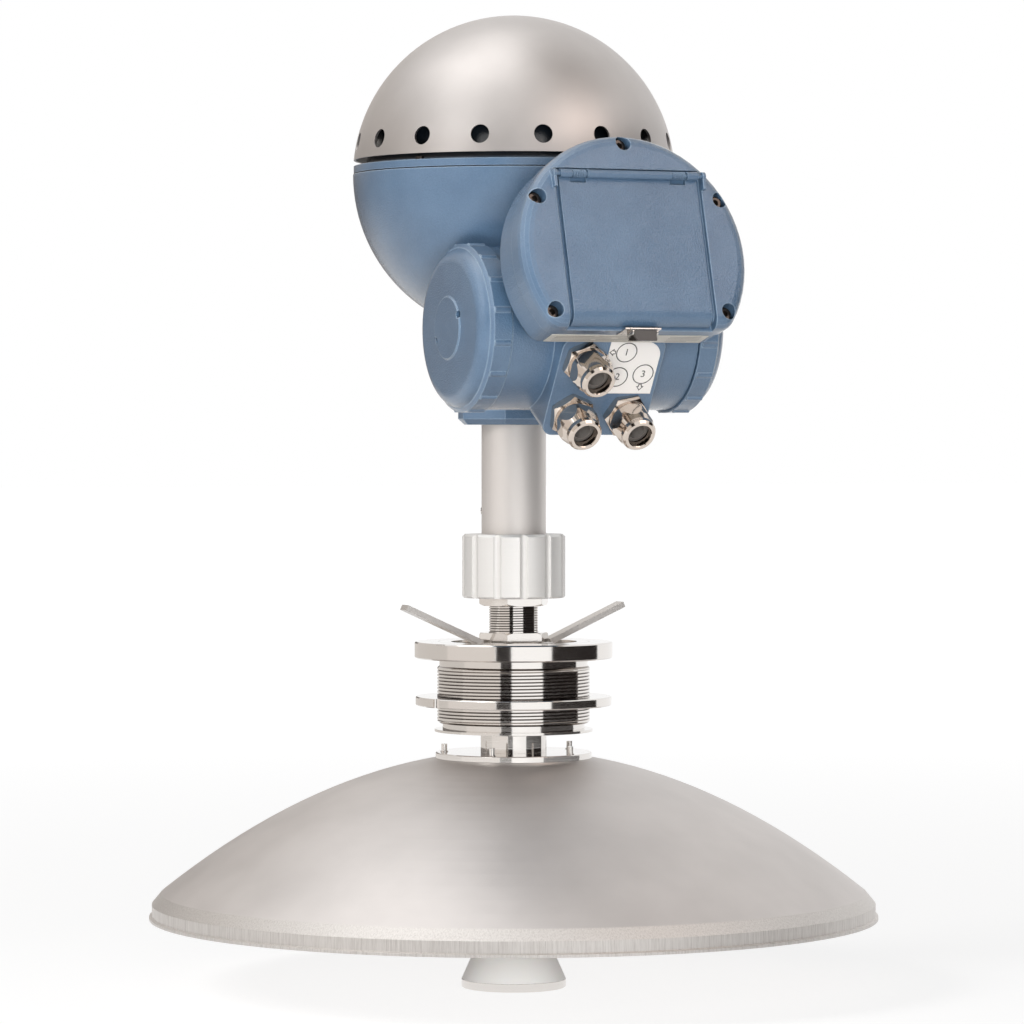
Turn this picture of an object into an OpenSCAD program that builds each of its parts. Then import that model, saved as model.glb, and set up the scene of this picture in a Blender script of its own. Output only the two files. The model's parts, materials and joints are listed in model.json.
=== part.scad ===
// Radar level transmitter with a parabolic antenna for storage tanks.
// Origin: centre of the underside of the mounting flange. +Z up, the display
// faces -Y and the terminal drum lies along X. Millimetres.

/* [Parabolic reflector] */
// Diameter over the lip of the reflector
dish_d = 440; // [400:1:480]
// Focal length of the parabola
dish_focus = 134; // [120:1:150]
// Sheet thickness of the reflector
dish_t = 2; // [1.5:0.1:3]
// Height of the turned rim band
dish_rim_h = 15.5; // [13:0.5:19]
// Number of screws that hold the reflector
dish_screws_n = 5; // [4:1:8]

/* [Waveguide and feed] */
// Outer diameter of the threaded waveguide tube
tube_d = 30; // [28:0.5:31]
// Wall of the waveguide tube
tube_wall = 3; // [2:0.25:4]
// Length of the dielectric feed cone
cone_l = 37.5; // [32:0.5:42]
// Diameter of the sub-reflector under the cone
sub_d = 63.4; // [56:0.2:70]
// Thickness of the sub-reflector
sub_t = 5; // [4:0.25:7]

/* [Mounting flange] */
// Diameter of the top flange
flange_d = 120; // [114:1:128]
// Thickness of the top flange at its rim
flange_t = 10; // [8:0.5:12]
// Depth of the recess round the lock nut
recess_d = 2; // [1:0.25:3]
// Major diameter of the threaded barrel
barrel_d = 92.6; // [88:0.2:95]
// Length of the threaded barrel
barrel_l = 34.5; // [31:0.5:40]
// Diameter of the ring nut
ring_nut_d = 118.8; // [112:0.2:124]
// Thickness of the ring nut
ring_nut_t = 5.5; // [4.5:0.25:7]
// Height of the flange seat above the ring nut
clamp_gap = 23; // [20:0.5:25]

/* [Clamp column] */
// Width across flats of the lock nut and the adapter
hex_af = 38.4; // [36:0.2:40]
// Exposed thread between the lock nut and the adapter
thread_gap = 16.2; // [12:0.2:22]
// Diameter of the grip nut
grip_d = 62.4; // [60:0.2:68]
// Height of the grip nut
grip_h = 38.5; // [36:0.5:44]
// Number of flutes round the grip nut
flutes = 12; // [8:1:16]
// Diameter of the sleeve pipe
pipe_d = 39; // [37:0.5:40]
// Visible length of the sleeve pipe
pipe_l = 66; // [50:1:90]

/* [Head casting] */
// Width of the octagonal foot along X
foot_w = 70; // [66:1:76]
// Depth of the octagonal foot along Y
foot_d = 46; // [44:1:50]
// Outer diameter of the electronics bowl
bowl_d = 194.4; // [190:0.4:200]
// Height of the bowl's lowest point above the foot
bowl_lift = 53.8; // [51:0.2:58]
// Outer diameter of the terminal drum
drum_d = 95; // [94:0.5:98]
// Length of the terminal drum between its covers
drum_l = 119; // [114:1:126]
// How far the drum axis lies inside the bowl's front
drum_inset = 12.2; // [10:0.2:13]
// Height of the drum axis above the foot
drum_rise = 56; // [54:0.5:58]

/* [Weather hood] */
// Overlap of the hood's edge beyond the bowl's
hood_over = 0.1; // [0:0.1:1]
// Sheet thickness of the hood
hood_t = 1.6; // [1.2:0.1:2]
// Turn of the hood's hole ring off the display side
vent_turn = 9; // [0:0.5:22]
// Number of vent holes
vents = 16; // [12:1:20]
// Diameter of a vent hole
vent_d = 11; // [8:0.5:12]

/* [Drum covers] */
// Diameter of a screw cover
cap_d = 98; // [96:0.5:101]
// Number of grip ribs on a screw cover
cap_ribs = 16; // [12:1:20]
// Diameter of the cover thread
cap_thread_d = 80; // [78:0.5:82]

/* [Cable glands] */
// Width across flats of the gland body
gland_af = 24; // [23:0.1:26]
// Spacing of the glands
gland_pitch = 34.6; // [33:0.2:36]
// Bore of the clamping seal
gland_bore = 10; // [7:0.5:11]
// Downward tilt of the glands
gland_tilt = 32; // [28:1:35]

/* [Display] */
// Diameter of the display cover
cover_d = 142; // [138:1:146]
// Distance of the flat lower edge from the centre
cover_flat = 44.5; // [43:0.5:46]
// Thickness of the display cover
cover_t = 16; // [15:0.5:17.5]
// Depth of the display housing behind the cover
housing_t = 21; // [19:0.5:23]
// Tilt of the display from the vertical
display_tilt = 15.5; // [12:0.5:18]
// Width of the hinged flap
flap_w = 87; // [82:0.2:90]

/* [Hidden] */
$fn = 96;
eps = 0.01;        // overlap of joined shapes
run = 0.05;        // radial clearance of a turning fit
gap = 0.3;         // clearance between pieces that move past each other

blue = "#6b84a0";
steel = "#c8c8c6";
satin = "#b9b6b3";
nickel = "#b5aaa0";

// Levels of the column, from the flange seat upwards
washer_t = 1.5;
lock_h = 6;
adapter_h = 4.5;
recess_z = flange_t - recess_d;
recess_r = 38;
lock_z = recess_z + washer_t;
lock_turn = -4;                // turn of the lock nut's and the adapter's hexagon
adapter_z = lock_z + lock_h + thread_gap;
grip_z = adapter_z + adapter_h + gap;
foot_z = grip_z + grip_h + pipe_l;
foot_t = 9;
tube_r = tube_d / 2;
bore_r = tube_r - tube_wall;
grip_r = grip_d / 2;
pipe_r = pipe_d / 2;
adapter_r = grip_r - 6.2;      // thread inside the grip nut
adapter_top = grip_z + 17.5;
collar_top = adapter_top + 8;  // top of the collar on the sleeve pipe

// Levels of the barrel, from the flange seat downwards
neck_h = 4.5;
relief_h = 3.7;
barrel_z = -neck_h - barrel_l;
collar_z = barrel_z - relief_h;
collar_lip = 1.5;
collar_neck = 12.5;
plate_t = 3.6;
plate_z = collar_z - collar_lip - collar_neck;
seat_z = plate_z - plate_t;
barrel_r = barrel_d / 2;
flange_r = flange_d / 2;
plate_r = barrel_r + 1;
screw_pcd_r = plate_r - 5.3;

// Reflector
lip_r = dish_d / 2;
shell_r = lip_r - 7;           // where the parabola meets the rim
seat_r = plate_r - 0.5;
function parabola(r) = seat_z + (seat_r * seat_r - r * r) / (4 * dish_focus);
shell_z = parabola(shell_r);
lip_z = shell_z - dish_rim_h;
cone_z = lip_z;

// Head
bowl_r = bowl_d / 2;
bowl_rise = bowl_r + bowl_lift;
bowl_z = foot_z + bowl_rise;
drum_reach = bowl_r - drum_inset;
drum_y = -drum_reach;
drum_z = foot_z + drum_rise;
drum_r = drum_d / 2;
bowl_wall = 6;
foot_side = 7.6;
cap_r = cap_d / 2;
cap_bore_r = cap_thread_d / 2;
wall_x = -4.5;                 // partition between the two compartments
gasket_t = 0.6;
lid_z = bowl_z + gasket_t;
lid_t = 4.4;
lid_r = bowl_r - 7.2;          // dome of the inner lid
lid_dome_z = bowl_z - 5;
hood_r = bowl_r + hood_over;
hood_z = bowl_z - 1;
rim_z = bowl_z + 8.6;          // lower edge of the hood
vent_z = rim_z + 10.4;
dimple_z = hood_z + hood_r - 4;
unit_r = 46;
unit_z = drum_z + 37;
unit_h = bowl_z - unit_z - 10;

// Glands: points on the pad in its own plane, u along X and v up the pad
pad_y = drum_y - 34.4;
pad_z = drum_z - 49.6;
gland_u = -gland_pitch / 2;
gland_v = gland_pitch * 1.03;
gland_at = [[gland_u, gland_v], [gland_u, 0], [gland_u + gland_pitch, 0]];
pad_left = gland_u - gland_af * 0.64;
pad_right = gland_pitch / 2 + gland_af * 0.64;
gland_thread_r = 10;
gland_sleeve_r = 9;
gland_hex = 5.5;
gland_nose = 25.5;             // height of the cap nut's mouth above the pad
gland_turn = [24, 38, 7];       // turn of each gland's hexagon

// Display, in its own frame: x across, y up the face, z out of the face
disp_y = drum_y - 87.4;
disp_z = drum_z + 42.4;
cover_r = cover_d / 2;
cover_corner = 10;
screws = [[-32.5, 6.4], [29.5, 5.2], [90, 5.4], [150.5, 5.2], [212.5, 6.4]]; // angle, distance from the rim
edge = 7;                      // rounding of the cover's rim
pocket = 3;                    // recess that the flap lies in
flap_t = 2.4;
flap_r = 8;                    // roll of the flap's lower edge
roll_v = 9.8 - cover_flat;
roll_w = -flap_r - 0.3;
pin_r = 1.3;
hinge_v = cover_flat + 1;
hinge_w = 1.8;
knuckle_r = 2.5;
pocket_w = flap_w + 5.4;
ear_u = pocket_w / 2;
window_w = 72;
window_h = 46;
window_v = 6;
latch_v = -cover_flat - 2.7;
latch_w = -2.6;

// ---------- helpers ----------

module ring(r_out, r_in, h) {
  difference() {
    cylinder(r = r_out, h = h);
    translate([0, 0, -1]) cylinder(r = r_in, h = h + 2);
  }
}

module turned(points) { rotate_extrude() polygon(points); }

// Hexagonal prism with flats across y
module hex(af, h) { cylinder(r = af / sqrt(3), h = h, $fn = 6); }

module around(n, r = 0, start = 0) {
  for (k = [0 : n - 1]) rotate([0, 0, start + k * 360 / n]) translate([r, 0, 0]) children();
}

module at_display() {
  translate([0, disp_y, disp_z]) rotate([90 - display_tilt, 0, 0]) children();
}

module at_pad() {
  translate([0, pad_y, pad_z]) rotate([90 + gland_tilt, 0, 0]) children();
}

module at_gland(i) {
  at_pad() translate([gland_at[i][0], gland_at[i][1], 0]) children();
}

// Axis of a drum cover: z points out of the drum, side -1 left and 1 right
module at_cap(side) {
  translate([side * drum_l / 2, drum_y, drum_z]) rotate([0, side * 90, 0]) children();
}

// Solid through a stack of rings with equal numbers of points, ends capped
module skin(rings) {
  m = len(rings[0]);
  n = len(rings) - 1;
  sides = [for (k = [0 : n - 1], j = [0 : m - 1])
    let (i = (j + 1) % m) [k * m + j, (k + 1) * m + j, (k + 1) * m + i, k * m + i]];
  start = [for (j = [0 : m - 1]) j];
  end = [for (j = [m - 1 : -1 : 0]) n * m + j];
  polyhedron([for (r = rings) each r], concat([start], sides, [end]), convexity = 10);
}

// Wire wound on the z axis
module coil(r, wire, length, turns, steps = 14, sides = 6) {
  n = turns * steps;
  skin([for (k = [0 : n]) let (a = 360 * k / steps) [for (j = [0 : sides - 1]) let (b = 360 * j / sides)
    [(r + wire * cos(b)) * cos(a), (r + wire * cos(b)) * sin(a), length * k / n + wire * sin(b)]]]);
}

// ---------- antenna ----------

module dish() {
  bands = 18;
  radii = [for (k = [0 : bands]) seat_r + (shell_r - seat_r) * k / bands];
  outer = [for (r = radii) [r, parabola(r)]];
  inner = [for (k = [bands : -1 : 0]) let (r = radii[k], s = r / (2 * dish_focus))
    [r - dish_t * s / sqrt(1 + s * s), parabola(r) - dish_t / sqrt(1 + s * s)]];
  rim = [
    [lip_r - 1.6, shell_z - 6.5], [lip_r - 1.6, lip_z + 2.4], [lip_r, lip_z + 1.6],
    [lip_r, lip_z], [lip_r - 4, lip_z], [lip_r - 4, shell_z - 7.5]
  ];
  color(satin) difference() {
    turned(concat([[tube_r + gap, seat_z]], outer, rim, inner, [[tube_r + gap, seat_z - dish_t]]));
    around(dish_screws_n, screw_pcd_r, 12) translate([0, 0, seat_z - 5]) cylinder(r = 2.2, h = 10, $fn = 32);
  }
}

module feeder_collar() {
  color(steel) difference() {
    turned([
      [tube_r, collar_z], [plate_r + 0.6, collar_z], [plate_r + 0.6, collar_z - collar_lip],
      [tube_r + 7, collar_z - collar_lip], [tube_r + 5, collar_z - collar_lip - 2],
      [tube_r + 5, plate_z], [plate_r - 0.5, plate_z], [plate_r, plate_z - 0.5],
      [plate_r, seat_z], [tube_r, seat_z]
    ]);
    around(dish_screws_n, screw_pcd_r, 12) translate([0, 0, seat_z - 1]) cylinder(r = 2, h = plate_t + 2, $fn = 32);
  }
}

module dish_screws() {
  color(steel) around(dish_screws_n, screw_pcd_r, 12) {
    translate([0, 0, seat_z - dish_t - 4.6]) cylinder(r = 2, h = plate_t + dish_t + 4.6 + eps, $fn = 32);
    translate([0, 0, plate_z]) cylinder(r = 2.4, h = 0.5, $fn = 32);
    translate([0, 0, plate_z + 0.5 - eps]) cylinder(r = 1.8, h = 4.3, $fn = 32);
  }
}

module dish_nuts() {
  color(steel) around(dish_screws_n, screw_pcd_r, 12)
    translate([0, 0, seat_z - dish_t - 3.2]) difference() {
      hex(7, 3.2);
      translate([0, 0, -1]) cylinder(r = 2, h = 6, $fn = 32);
    }
}

module waveguide_tube() {
  color(steel) translate([0, 0, cone_z]) ring(tube_r, bore_r, adapter_top - cone_z);
}

module feed_cone() {
  top = sub_d / 2 - 0.2;
  color("#e9e9e6") difference() {
    turned([[0, cone_z + 26], [bore_r - 6, cone_z + 26], [bore_r, cone_z + 14], [bore_r, cone_z],
      [tube_r, cone_z], [top, cone_z - cone_l], [0, cone_z - cone_l]]);
    translate([0, 0, cone_z - cone_l - 1]) cylinder(r = 2.5, h = 13, $fn = 32);
  }
}

module subreflector() {
  r = sub_d / 2;
  z = cone_z - cone_l;
  color(steel) difference() {
    turned([[0, z], [r, z], [r, z - sub_t + 0.6], [r - 0.6, z - sub_t], [0, z - sub_t]]);
    translate([0, 0, z - sub_t - 1]) cylinder(r = 2.6, h = sub_t + 2, $fn = 32);
    translate([0, 0, z - sub_t - 1]) cylinder(r = 5.1, h = 4, $fn = 48);
  }
}

module feed_screw() {
  z = cone_z - cone_l - sub_t;
  color(steel) difference() {
    union() {
      translate([0, 0, z + 0.4]) cylinder(r = 5, h = 2.6, $fn = 48);
      translate([0, 0, z + 1]) cylinder(r = 2.5, h = sub_t + 9, $fn = 32);
    }
    translate([0, 0, z]) hex(3, 2);
  }
}

// ---------- flange and clamping ----------

module flange_barrel() {
  cavity = barrel_r - 8.5;
  color(steel) turned([
    [tube_r, recess_z], [recess_r, recess_z], [recess_r, flange_t - 0.3], [recess_r + 0.3, flange_t],
    [flange_r - 0.8, flange_t], [flange_r, flange_t - 0.8], [flange_r, 0.8], [flange_r - 0.8, 0], [barrel_r - 1.3, 0], [barrel_r - 1.3, -neck_h], [barrel_r, -neck_h - 1.2],
    [barrel_r, barrel_z + 1.2], [barrel_r - 1.2, barrel_z], [barrel_r - 3.3, barrel_z],
    [barrel_r - 3.3, collar_z], [cavity, collar_z], [cavity, -12], [cavity - 4, -8],
    [tube_r + 6, -8], [tube_r + 6, -12], [tube_r, -12]
  ]);
}

module ring_nut() {
  r = ring_nut_d / 2;
  z = -clamp_gap - ring_nut_t;
  color(steel) difference() {
    turned([
      [barrel_r + run, -clamp_gap], [r - 0.6, -clamp_gap], [r, -clamp_gap - 0.6],
      [r, z + 0.6], [r - 0.6, z], [barrel_r + run, z]
    ]);
    around(2, r, 194.5) translate([0, 0, z - 1]) cylinder(r = 3, h = ring_nut_t + 2, $fn = 32);
  }
}

module tab_washer() {
  arm_l = flange_r - hex_af / 2 + 13.2;
  arm_w = 10;
  color(steel) translate([0, 0, recess_z]) difference() {
    union() {
      cylinder(r = hex_af / 2 + 5, h = washer_t);
      for (s = [0, 180]) rotate([0, 0, s]) translate([hex_af / 2 + 3.9, -arm_w / 2, 0])
        rotate([0, -24, 0]) cube([arm_l, arm_w, 3.4]);
    }
    translate([0, 0, -1]) cylinder(r = tube_r, h = 5);
    translate([0, 0, washer_t]) cylinder(r = hex_af / sqrt(3) + gap, h = 20);
    translate([-90, -20, -20]) cube([180, 40, 20]);
  }
}

module lock_nut() {
  r = hex_af / sqrt(3);
  color(steel) translate([0, 0, lock_z]) intersection() {
    rotate([0, 0, lock_turn]) hex(hex_af, lock_h);
    turned([[tube_r + run, 0], [r - 1.6, 0], [r, 1], [r, lock_h - 1], [r - 1.6, lock_h], [tube_r + run, lock_h]]);
  }
}

module adapter() {
  r = hex_af / sqrt(3);
  color(steel) translate([0, 0, adapter_z]) {
    intersection() {
      rotate([0, 0, lock_turn]) hex(hex_af, adapter_h);
      turned([[tube_r, 0], [r - 2.4, 0], [r, 1.4], [r, adapter_h], [tube_r, adapter_h]]);
    }
    translate([0, 0, adapter_h - eps]) ring(adapter_r - 3, tube_r, gap + 1 + eps);
    translate([0, 0, adapter_h + gap + 1 - eps])
      ring(adapter_r, tube_r, adapter_top - adapter_z - adapter_h - gap - 1 + eps);
  }
}

module column_seal() {
  color("#2b2b2b") translate([0, 0, adapter_top]) ring(adapter_r - 1, tube_r + 4, 1.2);
}

module grip_nut() {
  r = grip_r;
  color(steel) translate([0, 0, grip_z]) difference() {
    turned([
      [adapter_r + run, 0], [r - 1, 0], [r, 1], [r, grip_h - 1.5], [r - 1.5, grip_h],
      [pipe_r + run, grip_h], [pipe_r + run, collar_top - grip_z + gap],
      [adapter_r + run, collar_top - grip_z + gap]
    ]);
    around(flutes, r + 1.6, 11.5 + 246) translate([0, 0, -1]) cylinder(r = 3, h = grip_h + 2, $fn = 32);
  }
}

module sleeve_pipe() {
  z = adapter_top + 1.2;
  color(satin) difference() {
    turned([
      [tube_r + 1.5, z], [adapter_r - gap, z], [adapter_r - gap, collar_top - 1], [adapter_r - gap - 1, collar_top],
      [pipe_r, collar_top], [pipe_r, foot_z], [tube_r + 1.5, foot_z]
    ]);
    translate([0, 0, grip_z + grip_h + 14]) rotate([0, 0, 150]) rotate([0, 90, 0]) cylinder(r = 2, h = 40, $fn = 32);
  }
}

module pipe_pin() {
  color(steel) translate([0, 0, grip_z + grip_h + 14]) rotate([0, 0, 150]) rotate([0, 90, 0])
    translate([0, 0, tube_r + 1.5]) cylinder(r = 2, h = pipe_r - tube_r - 1, $fn = 32);
}

module inner_waveguide() {
  color(steel) {
    translate([0, 0, adapter_top + 1.2]) ring(bore_r + 1.5, bore_r, unit_z - adapter_top - 1.2);
    translate([0, 0, adapter_top + 1.2]) ring(tube_r + 1.5, bore_r, 5);
  }
}

// ---------- head ----------

function octagon(w, d, side) = [
  [w / 2, side / 2], [w / 2 - (d - side) / 2, d / 2], [(d - side) / 2 - w / 2, d / 2], [-w / 2, side / 2],
  [-w / 2, -side / 2], [(d - side) / 2 - w / 2, -d / 2], [w / 2 - (d - side) / 2, -d / 2], [w / 2, -side / 2]
];

module foot() {
  translate([0, 0, foot_z]) {
    hull() {
      linear_extrude(eps) polygon(octagon(foot_w - 7, foot_d - 7, foot_side - 2.9));
      translate([0, 0, 3.5]) linear_extrude(foot_t - 3.5) polygon(octagon(foot_w, foot_d, foot_side));
    }
    translate([0, 0, foot_t - eps])
      linear_extrude(bowl_rise - bowl_r + 10) polygon(octagon(foot_w - 8, foot_d - 4, foot_side));
  }
}

// Flat front pad for the glands, drawn in its own plane and run back into the drum
module gland_pad() {
  low = -gland_af / 2 - 2.8;
  high = gland_v + 14.9;
  r = 7;
  intersection() {
    at_pad() translate([0, 0, -60]) linear_extrude(60) {
      translate([pad_left, low + r]) square([pad_right - pad_left, high - low - 2 * r]);
      translate([pad_left + r, low]) square([pad_right - pad_left - 2 * r, high - low]);
      for (u = [pad_left + r, pad_right - r], v = [low + r, high - r]) translate([u, v]) circle(r = r, $fn = 32);
    }
    translate([-100, drum_y - 80, drum_z - 90]) cube([200, 80 + drum_r * 0.55, 90 + drum_r * 0.7]);
    translate([-100, drum_y, drum_z]) rotate([0, 90, 0]) cylinder(r = 70, h = 200);
  }
}

module pedestal() {
  back = cover_t + 1 + housing_t;
  at_display() translate([0, 4, -back - 42]) cylinder(r = 40, h = 42);
}

module head_casting() {
  rim_in = bowl_r - 6;
  color(blue) difference() {
    union() {
      difference() {
        union() {
          translate([0, 0, bowl_z]) intersection() {
            sphere(r = bowl_r);
            translate([0, 0, -bowl_r]) cylinder(r = bowl_r + 1, h = bowl_r);
          }
          foot();
          translate([-21, drum_y + 20, foot_z + 14]) cube([42, drum_reach - 30, drum_rise]);
          pedestal();
        }
        translate([0, 0, bowl_z]) sphere(r = bowl_r - bowl_wall);
        translate([0, 0, bowl_z - 3]) cylinder(r = rim_in, h = 10);
      }
      translate([-drum_l / 2, drum_y, drum_z]) rotate([0, 90, 0]) cylinder(r = drum_r, h = drum_l);
      gland_pad();
      translate([0, 0, bowl_z - bowl_r + 2]) cylinder(r = 26, h = unit_z - bowl_z + bowl_r - 2);
    }
    // two compartments, open at the ends of the drum
    translate([wall_x + 3, drum_y, drum_z]) rotate([0, 90, 0]) cylinder(r = cap_bore_r + run, h = drum_l);
    translate([wall_x - 3, drum_y, drum_z]) rotate([0, -90, 0]) cylinder(r = cap_bore_r + run, h = drum_l);
    // groove for each cover seal
    for (side = [-1, 1]) at_cap(side) translate([0, 0, -1.8]) ring(45.2, 42.6, 3);
    // gland threads
    for (i = [0 : 2]) at_gland(i) {
      translate([0, 0, -14]) cylinder(r = gland_thread_r, h = 20);
      translate([0, 0, -38]) cylinder(r = 7.5, h = 30);
    }
    // wire ways to the display and to the bowl
    at_display() translate([0, -10, -110]) cylinder(r = 8, h = 110);
    // waveguide bore and the sleeve pipe's seat
    translate([0, 0, foot_z - 5]) cylinder(r = bore_r + 1.5 + run, h = 200);
    around(4, 19.5, 45) translate([0, 0, unit_z - 12]) cylinder(r = 2, h = 20, $fn = 32);
    around(6, bowl_r - 3.2, 30) translate([0, 0, bowl_z - 9]) cylinder(r = 1.2, h = 20, $fn = 32);
  }
}

module transmitter_unit() {
  color("#b9bcbf") difference() {
    union() {
      translate([0, 0, unit_z]) cylinder(r = 24, h = 4);
      translate([0, 0, unit_z + 4 - eps]) turned([
        [0, 0], [unit_r, 0], [unit_r, unit_h - 14], [unit_r - 3, unit_h - 11], [unit_r - 3, unit_h - 4], [0, unit_h - 4]
      ]);
    }
    translate([0, 0, unit_z - 1]) cylinder(r = bore_r, h = 21);
    around(4, 19.5, 45) translate([0, 0, unit_z - 1]) cylinder(r = 2.2, h = 80, $fn = 32);
    around(4, 19.5, 45) translate([0, 0, unit_z + 8]) cylinder(r = 4.2, h = 80, $fn = 32);
  }
}

module unit_screws() {
  color(steel) around(4, 19.5, 45) {
    translate([0, 0, unit_z - 10]) cylinder(r = 2, h = 18 + eps, $fn = 32);
    translate([0, 0, unit_z + 8]) cylinder(r = 3.5, h = 4, $fn = 32);
  }
}

module bowl_gasket() {
  color("#2b2b2b") translate([0, 0, bowl_z]) difference() {
    ring(bowl_r - 0.8, bowl_r - 5.6, gasket_t);
    around(6, bowl_r - 3.2, 30) translate([0, 0, -1]) cylinder(r = 1.6, h = 3, $fn = 32);
  }
}

module head_lid() {
  color(blue) difference() {
    union() {
      translate([0, 0, lid_z]) cylinder(r = bowl_r - 0.4, h = lid_t);
      intersection() {
        translate([0, 0, lid_dome_z]) sphere(r = lid_r);
        translate([0, 0, lid_z]) cylinder(r = bowl_r, h = bowl_r);
      }
      translate([0, 0, dimple_z - 16]) cylinder(r = 9, h = 16 - hood_t);
    }
    intersection() {
      translate([0, 0, lid_dome_z]) sphere(r = lid_r - 4);
      translate([0, 0, lid_z - 1]) cylinder(r = lid_r - 6, h = bowl_r);
    }
    translate([0, 0, dimple_z - 10]) cylinder(r = 2.5, h = 20, $fn = 32);
    around(6, bowl_r - 3.2, 30) translate([0, 0, lid_z - 1]) cylinder(r = 1.6, h = 8, $fn = 32);
  }
}

module lid_screws() {
  color(steel) around(6, bowl_r - 3.2, 30) {
    translate([0, 0, bowl_z - 8]) cylinder(r = 1.2, h = 8 + gasket_t + lid_t, $fn = 32);
    translate([0, 0, lid_z + lid_t]) cylinder(r = 2.4, h = 1.6, $fn = 32);
  }
}

module hood() {
  color(satin) difference() {
    union() {
      difference() {
        translate([0, 0, hood_z]) sphere(r = hood_r, $fn = 128);
        translate([0, 0, hood_z]) sphere(r = hood_r - hood_t, $fn = 128);
        translate([0, 0, rim_z - 200]) cylinder(r = 120, h = 200);
      }
      intersection() {
        translate([0, 0, dimple_z - hood_t]) cylinder(r = 10, h = 10);
        translate([0, 0, hood_z]) sphere(r = hood_r, $fn = 128);
      }
    }
    translate([0, 0, dimple_z]) cylinder(r = 8.4, h = 10);
    translate([0, 0, dimple_z - 5]) cylinder(r = 2.6, h = 10, $fn = 32);
    for (k = [0 : vents - 1]) translate([0, 0, vent_z]) rotate([0, 0, -90 + vent_turn + k * 360 / vents])
      rotate([0, 90, 0]) translate([0, 0, 60]) cylinder(r = vent_d / 2, h = 60, $fn = 40);
  }
}

module hood_screw() {
  color(steel) difference() {
    union() {
      translate([0, 0, dimple_z - 9]) cylinder(r = 2.5, h = 9 + eps, $fn = 32);
      translate([0, 0, dimple_z]) turned([[0, 0], [5.6, 0], [5.6, 1.6], [4.4, 2.8], [0, 2.8]]);
    }
    translate([0, 0, dimple_z + 1.2]) hex(4, 3);
  }
}

// ---------- terminal drum ----------

module screw_cap(side) {
  face = 19.5;
  round_r = 9;
  disc_r = 18;
  at_cap(side) difference() {
    union() {
      turned([[cap_bore_r - 5, -13], [cap_bore_r - 1, -13], [cap_bore_r, -12], [cap_bore_r, 0.6],
        [cap_r, 0.6], [cap_r, 12], [cap_r - 2, 13.6], [cap_bore_r - 5, 13.6]]);
      rotate_extrude() {
        translate([cap_r - 2 - round_r, face - round_r]) circle(r = round_r, $fn = 64);
        translate([0, 5]) square([cap_r - 2 - round_r, face - 5]);
        translate([0, 5]) square([cap_r - 2, face - round_r - 5]);
      }
      translate([0, 0, face - eps]) cylinder(r1 = cap_r - 2 - round_r, r2 = disc_r, h = 0.8);
      translate([0, 0, face]) cylinder(r1 = disc_r + 1, r2 = disc_r, h = 1.6);
      around(cap_ribs, cap_r - 1, 11.25) translate([0, 0, 1.6]) cylinder(r = 2, h = 10, $fn = 32);
    }
    translate([0, 0, -14]) cylinder(r = cap_bore_r - 5, h = 26);
    for (s = [-1, 1]) rotate([0, 0, -side * 25]) translate([0, s * (disc_r - 0.5), face - 4]) cylinder(r = 2.2, h = 10, $fn = 32);
  }
}

module left_cap() { color(blue) screw_cap(-1); }
module right_cap() { color(blue) screw_cap(1); }

module cap_seal(side) {
  at_cap(side) translate([0, 0, -1.8]) turned([
    [42.6, 0], [45.2, 0], [45.2, 1.4], [44.5, 2.1], [43.3, 2.1], [42.6, 1.4]
  ]);
}

module left_cap_seal() { color("#2b2b2b") cap_seal(-1); }
module right_cap_seal() { color("#2b2b2b") cap_seal(1); }

// Terminal strip on its plate, standing on the partition
module terminals(side) {
  depth = drum_l / 2 - side * wall_x - 3;
  n = 5;
  at_cap(side) translate([0, 0, -depth]) color("#3f4f45") {
    difference() {
      cylinder(r = cap_bore_r - 3, h = 2.5);
      for (s = [-1, 1]) translate([0, s * 31, -1]) cylinder(r = 2, h = 5, $fn = 32);
    }
    difference() {
      translate([-10, -n * 5, 2]) cube([20, n * 10, 14]);
      for (k = [0 : n - 1]) translate([0, (k - (n - 1) / 2) * 10, 0]) {
        translate([-4, 0, 9]) cylinder(r = 3, h = 10, $fn = 32);
        translate([5, -3.5, 6]) cube([8, 7, 6]);
      }
    }
  }
}

module left_terminals() { terminals(-1); }
module right_terminals() { terminals(1); }

module entry_label() {
  left = gland_u + gland_af / sqrt(3) + 0.4;
  right = pad_right - 2.5;
  low = gland_af / 2 + 1.8;
  high = gland_v + 12.9;
  r = 10;
  color("#e8e6e2") at_pad() linear_extrude(0.4) {
    translate([left, low]) square([right - left - r, high - low]);
    translate([left, low]) square([right - left, high - low - r]);
    translate([right - r, high - r]) circle(r = r, $fn = 48);
  }
}

// ---------- cable glands ----------

module gland_body(i) {
  r = gland_af / sqrt(3);
  color(nickel) at_gland(i) difference() {
    union() {
      translate([0, 0, -11]) cylinder(r = gland_thread_r, h = 11 + eps);
      intersection() {
        rotate([0, 0, gland_turn[i]]) hex(gland_af, gland_hex);
        turned([[0, 0], [r - 1.2, 0], [r, 0.8], [r, gland_hex - 1.6], [r - 2, gland_hex], [0, gland_hex]]);
      }
      translate([0, 0, gland_hex - eps]) cylinder(r = 10.9, h = 2.5 + eps);
      translate([0, 0, gland_hex + 2.5 - eps]) cylinder(r = gland_sleeve_r, h = 7.5 + eps);
    }
    translate([0, 0, -12]) cylinder(r = 6.8, h = 40);
  }
}

module gland_seal(i) {
  color("#1f1f1f") at_gland(i) translate([0, 0, gland_hex + 1]) turned([
    [gland_bore / 2, 0], [6.8, 0], [6.8, 9], [8.4, 9], [8.4, 11], [gland_bore / 2, 13]
  ]);
}

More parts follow.
